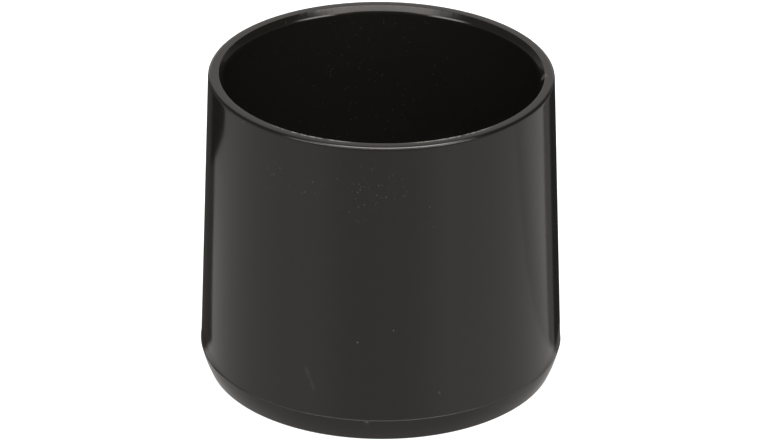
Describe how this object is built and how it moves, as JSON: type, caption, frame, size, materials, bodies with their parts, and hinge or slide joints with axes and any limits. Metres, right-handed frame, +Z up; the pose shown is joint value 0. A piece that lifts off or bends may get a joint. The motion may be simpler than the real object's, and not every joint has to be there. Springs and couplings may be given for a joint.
{
  "type": "chair leg tip",
  "caption": "Black moulded plastic cup that pushes over the end of a round chair leg, with a plain socket, a drafted wall and a bevelled foot that rests on the floor.",
  "frame": {"origin": "centre of the face that meets the floor", "axes": "+Z up along the axis of the socket, towards its mouth"},
  "size_m": [0.0298, 0.0298, 0.0259],
  "materials": {
    "black_plastic": "moulded black plastic with a soft gloss, a few dust specks and light scuffs"
  },
  "bodies": {
    "root": {"leg_tip": "black_plastic"}
  },
  "joints": []
}
